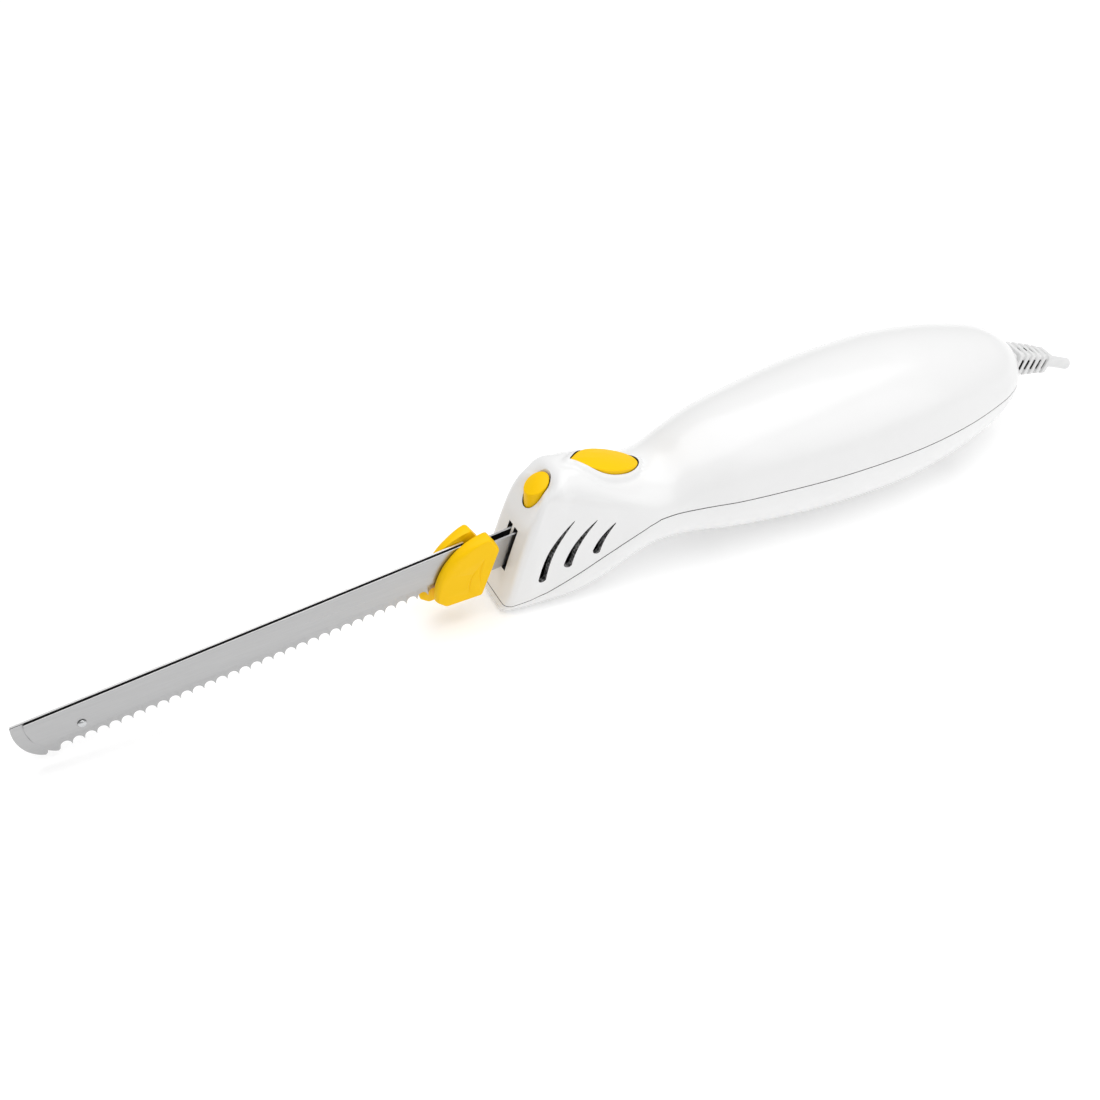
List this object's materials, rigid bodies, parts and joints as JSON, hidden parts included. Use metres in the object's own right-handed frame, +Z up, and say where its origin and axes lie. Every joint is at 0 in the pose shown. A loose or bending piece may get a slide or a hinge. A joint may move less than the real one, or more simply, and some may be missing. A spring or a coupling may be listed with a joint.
{
  "type": "electric knife",
  "caption": "Corded electric knife with two opposed reciprocating serrated blades, yellow finger guards and a white handle, usable for uncapping honeycomb.",
  "frame": {"origin": "on the floor under the middle of the knife without its cord, on its middle plane", "axes": "+X from the blade tips to the cord, +Y to the right seen from the cord end, +Z up; the belly of the handle and the chin touch z = 0"},
  "size_m": [0.4997, 0.0676, 0.0676],
  "materials": {
    "housing": "glossy moulded white ABS",
    "guards": "satin yellow ABS",
    "controls": "satin yellow ABS",
    "blades": "satin ground stainless steel",
    "bright_steel": "turned or drawn bright steel",
    "plated_steel": "zinc-plated pressed steel",
    "nylon": "natural nylon",
    "black_plastic": "black phenolic or ABS",
    "laminations": "varnished steel laminations",
    "copper": "enamelled copper",
    "bronze": "sintered bronze or brass",
    "carbon": "pressed carbon",
    "cord_grey": "light grey flexible PVC",
    "brown_wire": "brown insulation",
    "blue_wire": "blue insulation",
    "film_yellow": "film capacitor case"
  },
  "bodies": {
    "housing": {"upper_shell": "housing", "lower_shell": "housing", "button_guide": "black_plastic", "left_frame_plate": "plated_steel", "right_frame_plate": "plated_steel", "frame_spacer": "plated_steel", "wheel_axle": "bright_steel", "front_bush": "bronze", "rear_bush": "bronze", "front_bearing_plate": "black_plastic", "rear_bearing_plate": "black_plastic", "stator_core": "laminations", "upper_field_coil": "copper", "lower_field_coil": "copper", "left_brush_holder": "bronze", "right_brush_holder": "bronze", "left_brush": "carbon", "right_brush": "carbon", "left_brush_spring": "bright_steel", "right_brush_spring": "bright_steel", "switch_body": "black_plastic", "cord_clamp": "black_plastic", "left_clamp_screw": "bright_steel", "right_clamp_screw": "bright_steel", "strain_relief": "cord_grey", "power_cord": "cord_grey", "live_wire": "brown_wire", "neutral_wire": "blue_wire", "switch_wire": "brown_wire", "suppressor": "film_yellow", "housing_screw_1": "bright_steel", "housing_screw_2": "bright_steel", "housing_screw_3": "bright_steel", "housing_screw_4": "bright_steel", "release_spring": "bright_steel", "trigger_spring": "bright_steel"},
    "armature": {"armature_shaft": "bright_steel", "armature_core": "laminations", "front_winding": "copper", "rear_winding": "copper", "commutator": "copper", "cooling_fan": "black_plastic"},
    "wheel": {"worm_wheel": "nylon"},
    "left_drive": {"left_carrier": "nylon", "left_blade": "blades", "left_guard": "guards", "left_latch": "bright_steel", "blade_rivet": "bright_steel"},
    "right_drive": {"right_carrier": "nylon", "right_blade": "blades", "right_guard": "guards", "right_latch": "bright_steel"},
    "release": {"release_button": "controls", "release_fork": "plated_steel"},
    "trigger_lever": {"trigger": "controls"},
    "plunger": {"switch_plunger": "nylon"}
  },
  "joints": [
    {"name": "armature_spin", "type": "hinge", "parent": "housing", "child": "armature", "pos_m": [0, 0, 0.0335], "axis": [1, 0, 0], "range_deg": [0, 4320]},
    {"name": "wheel_spin", "type": "hinge", "parent": "housing", "child": "wheel", "pos_m": [-0.01, 0, 0.0185], "axis": [0, 1, 0], "range_deg": [-180, 0]},
    {"name": "left_blade_stroke", "type": "slide", "parent": "housing", "child": "left_drive", "axis": [-0.9969, 0, -0.0785], "range_m": [0, 0.0048]},
    {"name": "right_blade_stroke", "type": "slide", "parent": "housing", "child": "right_drive", "axis": [0.9969, 0, 0.0785], "range_m": [0, 0.0048]},
    {"name": "release_press", "type": "slide", "parent": "housing", "child": "release", "axis": [0, 0, -1], "range_m": [0, 0.0024], "stiffness_N_per_m": 400, "springref_m": -0.0015, "deforming": ["release_spring"]},
    {"name": "trigger_press", "type": "slide", "parent": "housing", "child": "trigger_lever", "axis": [-0.3797, 0, -0.9251], "range_m": [0, 0.002], "stiffness_N_per_m": 500, "springref_m": -0.0015, "deforming": ["trigger_spring"]},
    {"name": "plunger_press", "type": "slide", "parent": "housing", "child": "plunger", "axis": [-0.3797, 0, -0.9251], "range_m": [0, 0.002]}
  ],
  "couplings": [
    {"joint": "wheel_spin", "follows": "armature_spin", "ratio": -0.041667},
    {"joint": "left_blade_stroke", "follows": "armature_spin", "m_per_rad": 0.000063662},
    {"joint": "right_blade_stroke", "follows": "armature_spin", "m_per_rad": 0.000063662},
    {"joint": "plunger_press", "follows": "trigger_press", "ratio": 1}
  ]
}
